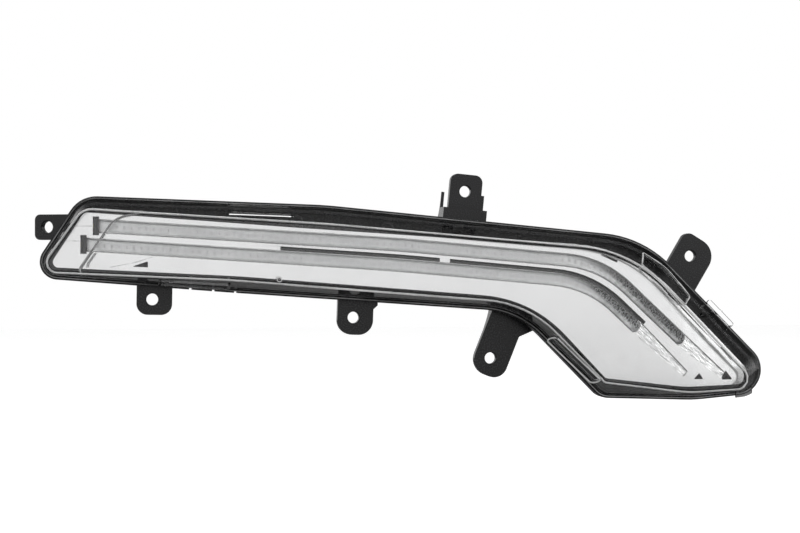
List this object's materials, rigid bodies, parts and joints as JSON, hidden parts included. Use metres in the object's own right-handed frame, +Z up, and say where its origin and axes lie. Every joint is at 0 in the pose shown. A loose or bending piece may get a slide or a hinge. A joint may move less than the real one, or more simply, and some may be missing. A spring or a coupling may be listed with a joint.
{
  "type": "daytime running light",
  "caption": "Long low bumper lamp with a bent tail: black housing with fixing tabs, clear curved lens, bright bezel and toothed light guides.",
  "frame": {"origin": "centre of the upper fixing hole, on the rear seating face of the fixing tabs", "axes": "+X along the lamp from its nose to its tail, -Y out through the lens, +Z up"},
  "size_m": [0.4733, 0.087, 0.1487],
  "materials": {
    "housing": "satin",
    "lens": "clear",
    "lens_seal": "matte",
    "reflector_bezel": "bright metallised",
    "bezel_screws": "black zinc plated",
    "upper_light_guide": "clear",
    "lower_light_guide": "clear",
    "guide_holder": "satin",
    "upper_led": "satin",
    "lower_led": "satin",
    "upper_led_board": "white lacquer",
    "lower_led_board": "white lacquer",
    "led_flex": "satin",
    "heat_sink": "as cast",
    "heat_sink_gasket": "matte",
    "rear_cover": "satin",
    "rear_cover_gasket": "matte",
    "rear_screws": "zinc plated",
    "driver_board": "satin",
    "driver_inductor": "matte",
    "driver_capacitors": "satin",
    "driver_chip": "matte",
    "board_screws": "zinc plated",
    "connector_pins": "tin plated",
    "vent_membrane": "matte",
    "vent_cap": "satin"
  },
  "bodies": {
    "root": {"housing": "housing", "lens": "lens", "lens_seal": "lens_seal", "reflector_bezel": "reflector_bezel", "bezel_screws": "bezel_screws", "upper_light_guide": "upper_light_guide", "lower_light_guide": "lower_light_guide", "guide_holder": "guide_holder", "upper_led": "upper_led", "lower_led": "lower_led", "upper_led_board": "upper_led_board", "lower_led_board": "lower_led_board", "led_flex": "led_flex", "heat_sink": "heat_sink", "heat_sink_gasket": "heat_sink_gasket", "rear_cover": "rear_cover", "rear_cover_gasket": "rear_cover_gasket", "rear_screws": "rear_screws", "driver_board": "driver_board", "driver_inductor": "driver_inductor", "driver_capacitors": "driver_capacitors", "driver_chip": "driver_chip", "board_screws": "board_screws", "connector_pins": "connector_pins", "vent_membrane": "vent_membrane", "vent_cap": "vent_cap"}
  },
  "joints": []
}
